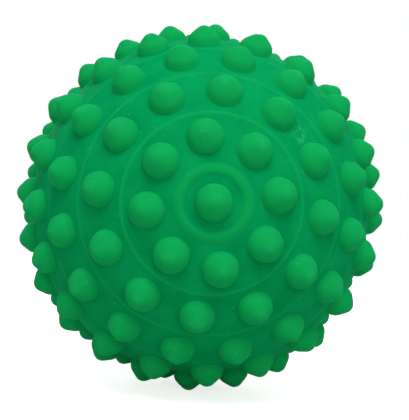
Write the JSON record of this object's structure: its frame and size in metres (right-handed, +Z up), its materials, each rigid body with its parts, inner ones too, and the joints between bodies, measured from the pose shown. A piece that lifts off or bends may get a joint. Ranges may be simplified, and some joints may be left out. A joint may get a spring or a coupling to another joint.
{
  "type": "sensory ball",
  "caption": "Hollow soft-vinyl sensory ball with rows of blunt conical nubs, mould rings and a plugged air valve at its rear pole.",
  "frame": {"origin": "centre of the ball", "axes": "-Y out of the plain pole that the picture shows, +Y out of the valve pole, +Z up, with the ball standing on nubs beside its parting line"},
  "size_m": [0.0992, 0.0973, 0.0992],
  "materials": {
    "green_vinyl": "soft semi-matte moulded vinyl",
    "bush_vinyl": "soft semi-matte moulded vinyl",
    "stopper_plastic": "natural white plastic, slightly waxy"
  },
  "bodies": {
    "ball": {"skin": "green_vinyl", "valve_bush": "bush_vinyl"},
    "stopper": {"valve_stopper": "stopper_plastic"}
  },
  "joints": [
    {"name": "stopper_pull", "type": "slide", "parent": "ball", "child": "stopper", "axis": [0, 1, 0], "range_m": [0, 0.01]}
  ]
}
